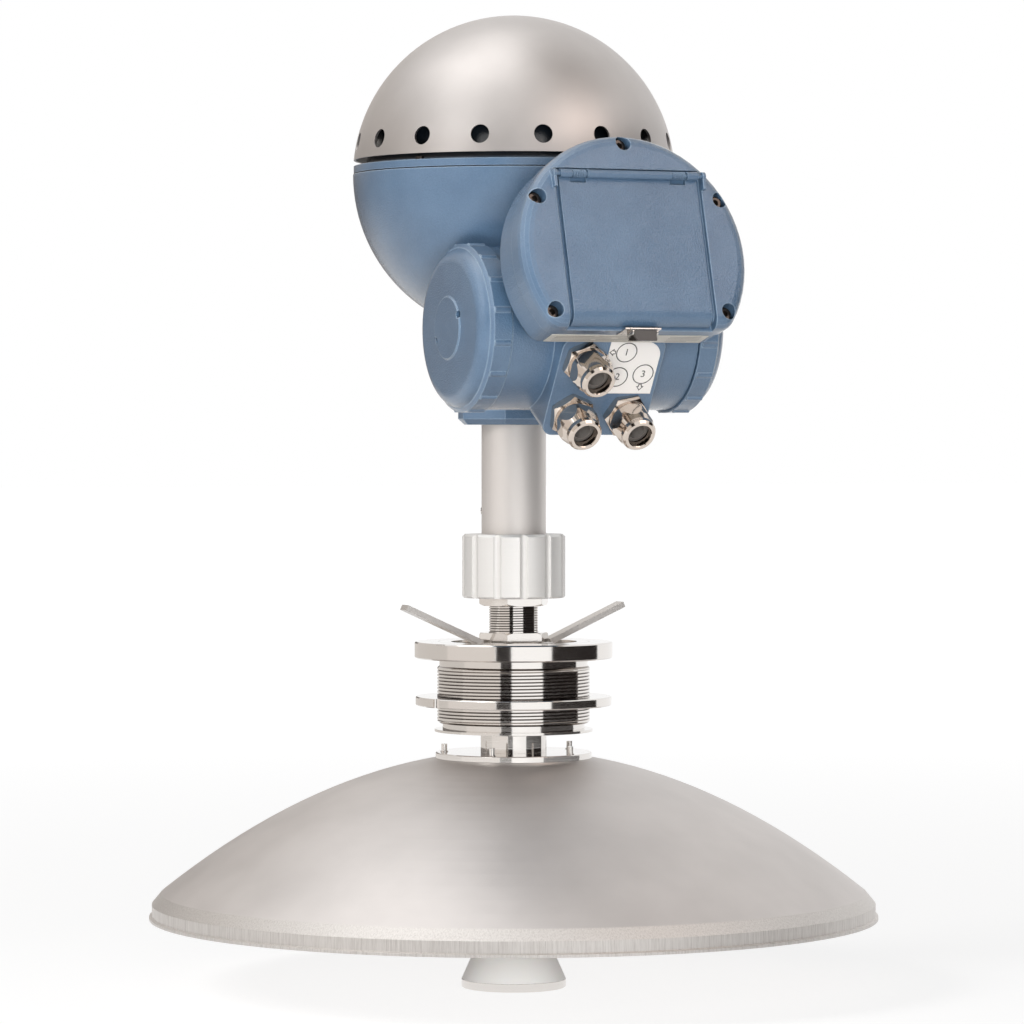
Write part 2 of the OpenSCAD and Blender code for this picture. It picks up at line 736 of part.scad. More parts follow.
module gland_nut(i) {
  z0 = gland_hex + 2.5 + gap;
  top = gland_nose;
  nose = 10.25;
  flats = 22.6;
  color(nickel) at_gland(i) intersection() {
    rotate([0, 0, gland_turn[i] + 6]) hex(flats, top);
    turned([
      [gland_sleeve_r + run, z0], [11.8, z0], [flats / sqrt(3) - 0.5, z0 + 1], [flats / sqrt(3) - 0.5, z0 + 5.5],
      [11.6, z0 + 9], [nose, top - 4.5], [nose, top - 1.6], [nose - 1.2, top], [7.4, top], [7, top - 0.6],
      [7, 20.3], [gland_sleeve_r + run, 20.3]
    ]);
  }
}

module gland_body_1() { gland_body(0); }
module gland_body_2() { gland_body(1); }
module gland_body_3() { gland_body(2); }
module gland_seal_1() { gland_seal(0); }
module gland_seal_2() { gland_seal(1); }
module gland_seal_3() { gland_seal(2); }
module gland_nut_1() { gland_nut(0); }
module gland_nut_2() { gland_nut(1); }
module gland_nut_3() { gland_nut(2); }

// ---------- display ----------

// Centre of a rounded lower corner of the outline
function corner_at(r, f, c) = [sqrt(pow(r - c, 2) - pow(f - c, 2)), c - f];

// Circle with a flat lower edge and rounded lower corners, shrunk by inset
function cover_points(inset, arc = 46, corner = 6) = let (
  r = cover_r - inset,
  c = cover_corner - inset / 2,
  y = c - cover_flat + inset,
  x = sqrt(pow(r - c, 2) - y * y),
  a = atan2(y, x)
) concat(
  [for (k = [0 : arc]) let (t = a + (180 - 2 * a) * k / arc) [r * cos(t), r * sin(t)]],
  [for (k = [1 : corner]) let (t = 180 - a + (90 + a) * k / corner) [c * cos(t) - x, c * sin(t) + y]],
  [for (k = [0 : corner - 1]) let (t = 270 + (90 + a) * k / corner) [c * cos(t) + x, c * sin(t) + y]]
);

module cover_outline(inset = 0) { polygon(cover_points(inset)); }

// The same outline as a plate of height h, its upper edge rounded by e
module rounded_plate(h, e, inset = 0, steps = 4) {
  levels = concat([[0, 0]], [for (k = [0 : steps]) let (a = 90 * k / steps) [h - e + e * sin(a), e * (1 - cos(a))]]);
  skin([for (l = levels) [for (p = cover_points(inset + l[1])) [p.x, p.y, l[0]]]]);
}

module at_screws() {
  for (s = screws) rotate([0, 0, s[0]]) translate([cover_r - s[1], 0, 0]) children();
}

module display_housing() {
  back = -cover_t - 1 - housing_t;
  color(blue) at_display() difference() {
    translate([0, 0, -cover_t - 1]) mirror([0, 0, 1]) rounded_plate(housing_t, 4, 0.8, 2);
    difference() {
      translate([0, 0, back + 5]) linear_extrude(housing_t) cover_outline(9);
      at_screws() translate([0, 0, back]) cylinder(r = 6.5, h = housing_t + 2);
    }
    at_screws() translate([0, 0, -cover_t - 13]) cylinder(r = 2.4, h = 20, $fn = 32);
    translate([0, -10, back - 5]) cylinder(r = 8, h = 20);
  }
}

module nameplate() {
  color("#dcd8cf") at_display() translate([-49.5, -cover_flat + 0.4, -cover_t - housing_t + 4]) cube([99, 0.4, 13]);
}

module cover_gasket() {
  color("#2b2b2b") at_display() translate([0, 0, -cover_t - 1]) linear_extrude(1) difference() {
    cover_outline(1.6);
    cover_outline(9);
    at_screws() circle(r = 2.6, $fn = 32);
  }
}

// Lower edge under the flap, rounded to follow the flap's roll
module flap_pocket() {
  w = pocket_w;
  translate([-w / 2, roll_v, -pocket]) cube([w, hinge_v + 4 - roll_v, pocket + 1]);
  difference() {
    translate([-w / 2, -cover_flat - 1, roll_w - 0.9]) cube([w, roll_v + cover_flat + 1 + eps, 20]);
    translate([-w / 2 - 1, roll_v, roll_w]) rotate([0, 90, 0]) cylinder(r = -roll_w - pocket, h = w + 2);
    translate([-w / 2 - 1, roll_v + roll_w + pocket, roll_w - 2]) cube([w + 2, 20, 2]);
  }
}

module display_cover() {
  color(blue) at_display() difference() {
    union() {
      difference() {
        translate([0, 0, -cover_t]) rounded_plate(cover_t, edge);
        flap_pocket();
      }
      for (s = [-1, 1]) translate([s * ear_u - 0.9 + s * 0.9, hinge_v - 8, -pocket]) {
        cube([1.8, 8, pocket + hinge_w + 1.6]);
        translate([0, 8, pocket + hinge_w]) rotate([0, 90, 0]) cylinder(r = 2.6, h = 1.8, $fn = 48);
        translate([0, 5.4, 0]) cube([1.8, 5.2, pocket + hinge_w]);
      }
    }
    // room behind the face, with a boss round each screw
    difference() {
      translate([0, 0, -cover_t - 1]) linear_extrude(cover_t + 1 - 9.4) cover_outline(10);
      at_screws() translate([0, 0, -cover_t - 1]) cylinder(r = 6.5, h = cover_t);
    }
    // window opening and the rebate that holds the glass
    translate([-window_w / 2, window_v - window_h / 2, -cover_t]) cube([window_w, window_h, cover_t + 5]);
    translate([-window_w / 2 - 4, window_v - window_h / 2 - 4, -cover_t]) cube([window_w + 8, window_h + 8, cover_t - 6]);
    at_screws() {
      translate([0, 0, -cover_t - 1]) cylinder(r = 2.7, h = 20, $fn = 32);
      translate([0, 0, -cover_t + 5]) cylinder(r = 4.6, h = 20, $fn = 48);
    }
    translate([-60, hinge_v, hinge_w]) rotate([0, 90, 0]) cylinder(r = pin_r, h = 120, $fn = 32);
  }
}

module display_window() {
  color("#9fb0b8") at_display() translate([-window_w / 2 - 3.8, window_v - window_h / 2 - 3.8, -9])
    cube([window_w + 7.6, window_h + 7.6, 3]);
}

module lcd_module() {
  color("#8f9b83") at_display() translate([-34, window_v - 21, -13.5]) cube([68, 42, 4.2]);
}

module display_board() {
  color("#2f5a3c") at_display() {
    translate([-44, window_v - 32, -cover_t - 3]) difference() {
      cube([88, 60, 1.6]);
      for (x = [4, 84], y = [4, 56]) translate([x, y, -1]) cylinder(r = 1.6, h = 4, $fn = 32);
    }
    for (x = [-40, 40], y = [-28, 24]) translate([x, window_v + y, -cover_t - 1 - housing_t + 5])
      cylinder(r = 3, h = housing_t - 7 + eps, $fn = 32);
    translate([-20, window_v - 18, -cover_t - 1.5]) cube([40, 36, 2.2]);
  }
}

module cover_screws() {
  color(steel) at_display() at_screws() difference() {
    union() {
      translate([0, 0, -cover_t - 12]) cylinder(r = 2.4, h = 17 + eps, $fn = 32);
      translate([0, 0, -cover_t + 5]) turned([[0, 0], [4.1, 0], [4.1, 4.2], [3.6, 4.8], [0, 4.8]]);
    }
    translate([0, 0, -cover_t + 7.6]) hex(3.6, 4);
  }
}

module display_flap() {
  w = flap_w;
  barrel = w - 34;
  color(blue) at_display() difference() {
    union() {
      translate([-w / 2, roll_v - eps, -0.3 - flap_t]) cube([w, hinge_v - 4.6 - roll_v, flap_t]);
      // lower edge rolled back over the cover
      intersection() {
        translate([-w / 2, roll_v, roll_w]) rotate([0, 90, 0]) difference() {
          cylinder(r = flap_r, h = w);
          translate([0, 0, -1]) cylinder(r = flap_r - flap_t, h = w + 2);
        }
        translate([-w / 2, roll_v - flap_r, roll_w]) cube([w, flap_r, flap_r]);
      }
      // arms up to the knuckles
      for (s = [-1, 1]) translate([s * (w / 2 - 3.5) - 3.5, hinge_v - 5, -0.3 - flap_t]) {
        cube([7, 5, flap_t]);
        translate([0, 5, hinge_w + 0.3 + flap_t]) rotate([0, 90, 0]) cylinder(r = knuckle_r, h = 7, $fn = 48);
      }
      translate([-barrel / 2, hinge_v - 5, -0.3 - flap_t]) cube([barrel, 5, flap_t]);
      translate([-barrel / 2, hinge_v, hinge_w]) rotate([0, 90, 0]) cylinder(r = knuckle_r, h = barrel, $fn = 48);
    }
    translate([-60, hinge_v, hinge_w]) rotate([0, 90, 0]) cylinder(r = pin_r + run, h = 120, $fn = 32);
  }
}

module hinge_pin() {
  color(steel) at_display() translate([-ear_u - 1.9, hinge_v, hinge_w]) rotate([0, 90, 0])
    cylinder(r = pin_r, h = 2 * ear_u + 3.8, $fn = 32);
}

module spring(side) {
  len = 8.4;
  at_display() translate([side * (flap_w / 2 - 12), hinge_v, hinge_w]) rotate([0, 90, 0])
    translate([0, 0, -len / 2]) rotate([0, 0, 90]) coil(2.05, 0.42, len, 8);
}

module left_spring() { color(steel) spring(-1); }
module right_spring() { color(steel) spring(1); }

module latch_bracket() {
  v = -cover_flat;
  ear = 7.1;
  drop = 6.5;
  color(steel) at_display() difference() {
    union() {
      translate([-11.3, v - 0.8, -cover_t + 0.2]) cube([22.6, 0.8, cover_t - 3.2]);
      translate([-ear - 1, v - drop, latch_w - 5.8]) cube([2 * ear + 2, drop, 1]);
      for (s = [-1, 1]) translate([s * (ear + 0.5) - 0.5, 0, 0]) {
        translate([0, latch_v, latch_w]) rotate([0, 90, 0]) cylinder(r = 1.8, h = 1, $fn = 48);
        translate([0, latch_v - 1.8, latch_w - 5]) cube([1, v - latch_v + 1.8, 5]);
      }
    }
    translate([-20, latch_v, latch_w]) rotate([0, 90, 0]) cylinder(r = 0.8 + run, h = 40, $fn = 32);
  }
}

module latch_clip() {
  w = 13.6;
  h = 5.2;
  color("#4a4846") at_display() {
    translate([-8.1, latch_v, latch_w]) rotate([0, 90, 0]) cylinder(r = 0.8, h = 16.2, $fn = 32);
    translate([-w / 2, latch_v, latch_w]) rotate([0, 90, 0]) cylinder(r = 1.6, h = w, $fn = 48);
    translate([0, latch_v, latch_w]) linear_extrude(1.6) {
      translate([-w / 2, -h + 3]) square([w, h - 3]);
      translate([3 - w / 2, -h]) square([w - 3, h]);
      translate([3 - w / 2, 3 - h]) circle(r = 3, $fn = 48);
    }
  }
}

dish();
feeder_collar();
dish_screws();
dish_nuts();
waveguide_tube();
feed_cone();
subreflector();
feed_screw();
flange_barrel();
ring_nut();
tab_washer();
lock_nut();
adapter();
column_seal();
grip_nut();
sleeve_pipe();
pipe_pin();
inner_waveguide();
head_casting();
transmitter_unit();
unit_screws();
bowl_gasket();
head_lid();
lid_screws();
hood();
hood_screw();
left_cap();
right_cap();
left_cap_seal();
right_cap_seal();
left_terminals();
right_terminals();
entry_label();
gland_body_1();
gland_seal_1();
gland_nut_1();
gland_body_2();
gland_seal_2();
gland_nut_2();
gland_body_3();
gland_seal_3();
gland_nut_3();
display_housing();
nameplate();
cover_gasket();
display_cover();
display_board();
lcd_module();
display_window();
cover_screws();
display_flap();
hinge_pin();
left_spring();
right_spring();
latch_bracket();
latch_clip();
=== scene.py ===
"""Finishes, threads, springs, printed marks, lights and camera for a radar level transmitter.

The frame of the CAD is kept. Lengths are metres, and millimetres where a value is multiplied by MM."""
import json
import math

import bpy
import numpy as np
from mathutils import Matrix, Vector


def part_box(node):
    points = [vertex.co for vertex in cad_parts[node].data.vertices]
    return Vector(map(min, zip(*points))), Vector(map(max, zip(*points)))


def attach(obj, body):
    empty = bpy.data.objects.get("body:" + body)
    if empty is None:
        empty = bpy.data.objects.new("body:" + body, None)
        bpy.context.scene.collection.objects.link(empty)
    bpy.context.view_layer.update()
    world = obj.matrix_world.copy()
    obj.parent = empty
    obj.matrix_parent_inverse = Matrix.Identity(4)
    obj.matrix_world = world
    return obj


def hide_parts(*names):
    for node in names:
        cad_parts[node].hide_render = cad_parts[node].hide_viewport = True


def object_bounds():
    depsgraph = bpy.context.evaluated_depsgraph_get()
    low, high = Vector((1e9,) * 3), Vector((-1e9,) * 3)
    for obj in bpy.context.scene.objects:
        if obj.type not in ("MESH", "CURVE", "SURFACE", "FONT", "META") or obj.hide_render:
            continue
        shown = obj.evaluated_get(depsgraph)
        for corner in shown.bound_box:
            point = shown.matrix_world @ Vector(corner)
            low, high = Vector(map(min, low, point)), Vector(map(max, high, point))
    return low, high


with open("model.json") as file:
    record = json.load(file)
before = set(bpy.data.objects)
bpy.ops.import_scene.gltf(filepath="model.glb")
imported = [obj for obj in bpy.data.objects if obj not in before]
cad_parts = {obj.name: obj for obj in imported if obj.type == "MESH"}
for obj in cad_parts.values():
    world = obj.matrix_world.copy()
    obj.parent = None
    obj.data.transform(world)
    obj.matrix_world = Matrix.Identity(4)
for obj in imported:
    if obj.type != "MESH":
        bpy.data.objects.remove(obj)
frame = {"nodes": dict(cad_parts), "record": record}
cad_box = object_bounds()
nodes = frame["nodes"]
MM = 0.001

# ---------------------------------------------------------------- camera, world and lamps

AZIMUTH = math.radians(24)  # how far the camera stands to the left of the display's middle line
CAMERA_DISTANCE, CAMERA_HEIGHT = 2.73, 0.1342
FORWARD = np.array([math.sin(AZIMUTH), math.cos(AZIMUTH), 0.0])
RIGHT = np.array([math.cos(AZIMUTH), -math.sin(AZIMUTH), 0.0])

camera_data = bpy.data.cameras.new("camera")
camera_data.lens, camera_data.sensor_width = 158.59, 36.0
camera_data.shift_x, camera_data.shift_y = -0.0017, -0.0742
camera_data.clip_start, camera_data.clip_end = 0.05, 60.0
camera = bpy.data.objects.new("camera", camera_data)
camera.location = tuple(-FORWARD * CAMERA_DISTANCE + np.array([0, 0, CAMERA_HEIGHT]))
camera.rotation_euler = (math.radians(90), 0, -AZIMUTH)
bpy.context.scene.collection.objects.link(camera)
bpy.context.scene.camera = camera
bpy.context.scene.view_settings.view_transform = "Standard"


def srgb(code):
    """Linear RGBA of an sRGB hex colour such as "#6b84a0"."""
    value = np.array([int(code[k:k + 2], 16) for k in (1, 3, 5)]) / 255
    linear = np.where(value <= 0.04045, value / 12.92, ((value + 0.055) / 1.055) ** 2.4)
    return (*map(float, linear), 1.0)


def add(tree, kind, settings=None, links=None):
    """Adds a node, sets its properties and input values, and links other nodes' outputs into its inputs."""
    node = tree.nodes.new(kind)
    for name, value in (settings or {}).items():
        if hasattr(node, str(name)):
            setattr(node, name, value)
        else:
            node.inputs[name].default_value = value
    for name, socket in (links or {}).items():
        tree.links.new(socket, node.inputs[name])
    return node


def ramp(tree, source, *stops):
    """Colour ramp through (position, sRGB hex) stops."""
    node = add(tree, "ShaderNodeValToRGB", links={"Fac": source})
    while len(node.color_ramp.elements) < len(stops):
        node.color_ramp.elements.new(0.5)
    for element, (position, code) in zip(node.color_ramp.elements, stops):
        element.position, element.color = position, srgb(code)
    return node.outputs["Color"]


def shown_white(tree, surface, white):
    """Mixes white in for rays from the camera, a gloss or a clear pane, so the light on the object stays as it is."""
    path = add(tree, "ShaderNodeLightPath")
    glossy = add(tree, "ShaderNodeMath", {"operation": "MAXIMUM"},
                 {0: path.outputs["Is Camera Ray"], 1: path.outputs["Is Glossy Ray"]})
    seen = add(tree, "ShaderNodeMath", {"operation": "MAXIMUM"},
               {0: glossy.outputs[0], 1: path.outputs["Is Transmission Ray"]})
    return add(tree, "ShaderNodeMixShader", links={0: seen.outputs[0], 1: surface, 2: white}).outputs[0]


# The world lights the object with a soft grey and shows itself as plain white
world = bpy.data.worlds.new("studio")
bpy.context.scene.world = world
world.use_nodes = True
tree = world.node_tree
tree.nodes.clear()
soft = add(tree, "ShaderNodeBackground", {"Color": srgb("#fbfbfd"), "Strength": 0.25})
plain = add(tree, "ShaderNodeBackground", {"Color": srgb("#ffffff"), "Strength": 1.0})
add(tree, "ShaderNodeOutputWorld", links={"Surface": shown_white(tree, soft.outputs[0], plain.outputs[0])})


def lamp(name, at, aim, size, watts, height=None):
    """Rectangular soft box at a point, turned to face another. A gloss doesn't see it."""
    data = bpy.data.lights.new(name, "AREA")
    data.shape, data.size, data.size_y, data.energy = "RECTANGLE", size, height or size, watts
    obj = bpy.data.objects.new(name, data)
    way = np.array(aim) - np.array(at)
    flat = math.hypot(way[0], way[1])
    obj.location = at
    obj.rotation_euler = (math.atan2(flat, -way[2]), 0, math.atan2(-way[0], way[1]))
    obj.visible_glossy = False
    bpy.context.scene.collection.objects.link(obj)


def around_camera(angle, radius, z):
    """Point at an angle to the right of the line from the object to the camera."""
    a = math.radians(angle)
    flat = radius * (-math.cos(a) * FORWARD + math.sin(a) * RIGHT)
    return (float(flat[0]), float(flat[1]), z)


lamp("key", at=around_camera(-55, 2.0, 1.3), aim=(0, 0, 0.18), size=0.9, watts=31)
lamp("front", at=around_camera(6, 2.2, 0.35), aim=(0, 0, 0.1), size=1.0, watts=14.5)
lamp("low", at=around_camera(0, 1.3, -0.05), aim=(0, 0, -0.19), size=0.7, watts=9, height=0.2)

# ---------------------------------------------------------------- studio boards and floor


def bare_material(name):
    """Material with an empty node tree."""
    m = bpy.data.materials.new(name)
    m.use_nodes = True
    m.node_tree.nodes.clear()
    return m


def board(name, code, strength=1.0):
    """Finish of a studio board that shines with one colour."""
    m = bare_material(name)
    glow = add(m.node_tree, "ShaderNodeEmission", {"Color": srgb(code), "Strength": strength})
    add(m.node_tree, "ShaderNodeOutputMaterial", links={"Surface": glow.outputs[0]})
    return m


def staged(name, points, faces, finish, gloss_only=True):
    """Piece of the studio: a mesh of points and rows of corner numbers. Only a gloss sees it, unless `gloss_only`
    is off."""
    mesh = bpy.data.meshes.new(name)
    mesh.from_pydata(np.asarray(points, dtype=float).tolist(), [], np.asarray(faces).tolist())
    mesh.materials.append(finish)
    obj = bpy.data.objects.new(name, mesh)
    bpy.context.scene.collection.objects.link(obj)
    if gloss_only:
        obj.visible_camera = obj.visible_diffuse = obj.visible_transmission = obj.visible_shadow = False


def card(name, start, end, radius, low, high, finish):
    """Curved board: part of an upright cylinder round the object, from one angle off the camera to another."""
    angle = np.radians(np.linspace(start, end, 25))[None, :, None]
    flat = radius * (np.sin(angle) * RIGHT - np.cos(angle) * FORWARD)
    grid = flat + np.array([low, high])[:, None, None] * np.array([0, 0, 1.0])
    n = grid.shape[1]
    c = np.arange(n - 1)
    staged(name, grid.reshape(-1, 3), np.stack([c, c + 1, n + c + 1, n + c], -1), finish)


def hung_board(name, at, aim, size, finish):
    """Flat square board at a point, turned to face another."""
    way = np.array(aim, dtype=float) - np.array(at)
    way /= np.linalg.norm(way)
    side = np.cross(way, [0, 0, 1.0])
    side /= np.linalg.norm(side)
    rise = np.cross(side, way)
    corners = [np.array(at) + (a * side + b * rise) * size / 2 for a, b in ((-1, -1), (1, -1), (1, 1), (-1, 1))]
    staged(name, corners, [(0, 1, 2, 3)], finish)


def paper_sweep():
    """Matt white paper, with a shine that grows away from the object added for the rays that see it."""
    m = bare_material("white_paper_sweep")
    tree = m.node_tree
    matt = add(tree, "ShaderNodeBsdfDiffuse", {"Color": srgb("#8b8a89")})
    away = add(tree, "ShaderNodeVectorMath", {"operation": "LENGTH"},
               {0: add(tree, "ShaderNodeTexCoord").outputs["Object"]})
    fade = add(tree, "ShaderNodeMapRange", {"From Min": 0.5, "From Max": 3.0, "To Min": 0.81, "To Max": 0.99},
               {"Value": away.outputs["Value"]})
    lift = add(tree, "ShaderNodeEmission", {"Color": srgb("#ffffff")}, {"Strength": fade.outputs["Result"]})
    both = add(tree, "ShaderNodeAddShader", links={0: matt.outputs[0], 1: lift.outputs[0]})
    add(tree, "ShaderNodeOutputMaterial", links={"Surface": shown_white(tree, matt.outputs[0], both.outputs[0])})
    return m


# Boards, by their angles to the right of the camera, their distance and their heights
FOOT = -0.19  # just above the floor
black_board, mid_board = board("black_board", "#2b2726"), board("mid_board", "#dcd7d2")
card("narrow_flag", -20, -3, 1.75, FOOT, 1.1, black_board)
card("wide_flag", 44, 112, 1.7, FOOT, 0.9, black_board)
card("left_board", -82, -21, 1.8, FOOT, 1.0, board("grey_board", "#ece6e1"))
card("far_left_board", -175, -82, 1.8, 0.45, 1.4, mid_board)
card("cap_flag", -175, -82, 1.8, 0.03, 0.45, board("flag_board", "#7c7774"))
card("foot_board", -175, -82, 1.8, FOOT, 0.03, mid_board)
card("white_card", -3, 44, 1.9, FOOT, 0.7, board("white_board", "#ffffff", 1.2))
card("strip_light", -50, -37, 1.6, 0.7, 1.4, board("strip_board", "#ffffff", 4.0))
card("warm_light", 30, 70, 1.6, 0.95, 1.7, board("warm_board", "#fff0e8", 3.0))
hung_board("top_light", around_camera(-80, 0.6, 2.1), (0, 0, 0.1), 1.6, board("top_board", "#ffffff", 2.2))
hung_board("dim_roof", around_camera(80, 0.9, 2.0), (0, 0, 0.1), 1.2, board("dim_board", "#a9a4a0"))

FLOOR_HALF = 25.0  # half the floor's width
staged("floor", [(x * FLOOR_HALF, y * FLOOR_HALF, cad_box[0].z) for x, y in ((-1, -1), (1, -1), (1, 1), (-1, 1))],
       [(0, 1, 2, 3)], paper_sweep(), gloss_only=False)

# ---------------------------------------------------------------- meshes from points


def outward(points, faces):
    """Faces of a closed mesh, turned over if the volume that they enclose comes out negative."""
    corners = [points[faces[:, k]] for k in range(faces.shape[1])]
    volume = sum((np.cross(corners[0], b) * c).sum() for b, c in zip(corners[1:], corners[2:]))
    return faces[:, ::-1] if volume < 0 else faces


def shell(name, points, faces, body, finish, slot, sharp=35):
    """Mesh of (points, 3) and faces with equal numbers of sides, riding on a body. It is shaded smooth, but for edges
    over `sharp` degrees."""
    mesh = bpy.data.meshes.new(name)
    sides = faces.shape[1]
    mesh.vertices.add(len(points))
    mesh.vertices.foreach_set("co", points.astype(np.float32).ravel())
    mesh.loops.add(faces.size)
    mesh.loops.foreach_set("vertex_index", faces.astype(np.int32).ravel())
    mesh.polygons.add(len(faces))
    mesh.polygons.foreach_set("loop_start", np.arange(0, faces.size, sides, dtype=np.int32))
    mesh.update(calc_edges=True)
    mesh.validate()
    mesh.polygons.foreach_set("use_smooth", np.ones(len(mesh.polygons), dtype=bool))
    mesh.set_sharp_from_angle(angle=math.radians(sharp))
    mesh.materials.append(finish)
    obj = bpy.data.objects.new(name, mesh)
    bpy.context.scene.collection.objects.link(obj)
    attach(obj, body)
    return obj


# ---------------------------------------------------------------- finishes


def material(name, code, metallic, roughness, **sockets):
    """Principled material: returns it with its tree and shader. Constant values sit on the shader's own sockets."""
    m = bpy.data.materials.new(name)
    m.use_nodes = True
    shader = m.node_tree.nodes["Principled BSDF"]
    shader.inputs["Base Color"].default_value = srgb(code)
    shader.inputs["Metallic"].default_value = metallic
    shader.inputs["Roughness"].default_value = roughness
    for key, value in sockets.items():
        shader.inputs[key.replace("_", " ")].default_value = value
    return m, m.node_tree, shader


def grain(tree, size, vector, detail=2.0, **settings):
    """Noise whose blotches are `size` millimetres across, on a vector in metres."""
    return add(tree, "ShaderNodeTexNoise", {"Scale": 1 / (size * MM), "Detail": detail, **settings},
               {"Vector": vector}).outputs["Fac"]


def place(tree):
    """Object coordinates: metres in the frame of the CAD."""
    return add(tree, "ShaderNodeTexCoord").outputs["Object"]


def from_axis(tree, vector):
    """Distance from the z axis, and z."""
    parts = add(tree, "ShaderNodeSeparateXYZ", links={0: vector})
    flat = add(tree, "ShaderNodeCombineXYZ", links={"X": parts.outputs["X"], "Y": parts.outputs["Y"]})
    radius = add(tree, "ShaderNodeVectorMath", {"operation": "LENGTH"}, {0: flat.outputs[0]})
    return radius.outputs["Value"], parts.outputs["Z"]


def turned_place(tree, vector):
    """Coordinates (distance from the z axis, 0, z), in which a noise draws the fine rings of a lathe."""
    radius, z = from_axis(tree, vector)
    return add(tree, "ShaderNodeCombineXYZ", links={"X": radius, "Z": z}).outputs[0]


def rough_between(tree, shader, source, low, high):
    """Roughness that follows a pattern from one value to another."""
    span = add(tree, "ShaderNodeMapRange", {"To Min": low, "To Max": high}, {"Value": source})
    tree.links.new(span.outputs["Result"], shader.inputs["Roughness"])


def bumped(tree, shader, source, depth, edge=0.0, strength=1.0):
    """Bump of `depth` millimetres under the shader, over edges rounded by `edge` millimetres."""
    node = add(tree, "ShaderNodeBump", {"Strength": strength, "Distance": depth * MM}, {"Height": source})
    if edge:
        rounded = add(tree, "ShaderNodeBevel", {"samples": 4, "Radius": edge * MM})
        tree.links.new(rounded.outputs[0], node.inputs["Normal"])
    tree.links.new(node.outputs[0], shader.inputs["Normal"])
    if shader.inputs["Coat Weight"].default_value:
        tree.links.new(node.outputs[0], shader.inputs["Coat Normal"])


def edge_highlight_mask(tree, reach):
    """0 to 1 mask within `reach` millimetres of an edge, where the painted highlight goes: how far the rounded normal
    leans from the flat one.
    """
    rounded = add(tree, "ShaderNodeBevel", {"samples": 4, "Radius": reach * MM})
    flat = add(tree, "ShaderNodeNewGeometry")
    lean = add(tree, "ShaderNodeVectorMath", {"operation": "DOT_PRODUCT"},
               {0: rounded.outputs[0], 1: flat.outputs["Normal"]})
    return add(tree, "ShaderNodeMapRange", {"From Min": 0.995, "From Max": 0.85, "To Max": 0.75},
               {"Value": lean.outputs["Value"]}).outputs["Result"]


def enamel(name, edge, peel=0.35, shade_from=None):
    """Blue stoving enamel over aluminium: a soft sheen under a clear gloss that the orange-peel skin breaks up,
    a slow drift of tone where the coat runs thicker, and a paler line painted along each edge as a highlight.
    Above the height `shade_from` the colour is painted near black, as the shade under the hood."""
    m, tree, shader = material(name, "#4f6b86", 0.0, 0.38, Coat_Weight=1.0, Coat_Roughness=0.1)
    spot = place(tree)
    skin = grain(tree, 0.9, spot, 2.0, Roughness=0.5)
    drift = grain(tree, 26, spot, 3.0)
    tone = add(tree, "ShaderNodeMix", {"data_type": "FLOAT", 0: 0.35}, {2: drift, 3: skin})
    colour = ramp(tree, tone.outputs[0], (0.34, "#4a647f"), (0.66, "#57728d"))
    # Painted highlight: a paler blue mixed in along every edge.
    colour = add(tree, "ShaderNodeMix", {"data_type": "RGBA", 7: srgb("#9db3c8")},
                 {0: edge_highlight_mask(tree, edge * 1.3), 6: colour}).outputs[2]
    if shade_from is not None:
        z = add(tree, "ShaderNodeSeparateXYZ", links={0: spot}).outputs["Z"]
        hood_shade_mask = add(tree, "ShaderNodeMapRange", {"From Min": shade_from - 0.001, "From Max": shade_from + 0.001},
                   {"Value": z})
        # Painted shade: near black above that height, for the dark under the hood seen through its vents.
        colour = add(tree, "ShaderNodeMix", {"data_type": "RGBA", 7: srgb("#12171d")},
                     {0: hood_shade_mask.outputs[0], 6: colour}).outputs[2]
    tree.links.new(colour, shader.inputs["Base Color"])
    rough_between(tree, shader, grain(tree, 4, spot), 0.28, 0.42)
    bumped(tree, shader, skin, peel, edge, 0.9)
    return m


def turned_steel(name, code, roughness, ring, depth, edge=0.25, metal=1.0):
    """Stainless steel turned on a lathe: fine rings about the z axis, a bright grey with a trace of warmth."""
    m, tree, shader = material(name, code, metal, roughness)
    rings = turned_place(tree, place(tree))
    lines = grain(tree, ring, rings, 2.0)
    rough_between(tree, shader, lines, roughness * 0.75, roughness * 1.4)
    bumped(tree, shader, lines, depth, edge, 0.6)
    return m


def thread_steel(name, crest, depth):
    """Stainless steel with a cut thread: bright crests at `crest` millimetres from the z axis, over roots that are
    painted darker as shade."""
    m, tree, shader = material(name, "#e4e0dc", 1.0, 0.1)
    spot = place(tree)
    radius, _ = from_axis(tree, spot)
    rise = add(tree, "ShaderNodeMapRange", {"From Min": (crest - depth) * MM, "From Max": crest * MM},
               {"Value": radius})
    inside = add(tree, "ShaderNodeMath", {"operation": "LESS_THAN", 1: (crest - depth - 0.15) * MM},
                 {0: radius})
    height = add(tree, "ShaderNodeMath", {"operation": "MAXIMUM"}, {0: rise.outputs[0], 1: inside.outputs[0]})
    # Painted shade: the colour turns darker grey towards the thread's roots.
    tree.links.new(ramp(tree, height.outputs[0], (0.1, "#877f7a"), (0.7, "#bdb7b2"), (0.96, "#e4e0dc")),
                   shader.inputs["Base Color"])
    rough_between(tree, shader, grain(tree, 6, spot, 3.0), 0.07, 0.13)
    return m


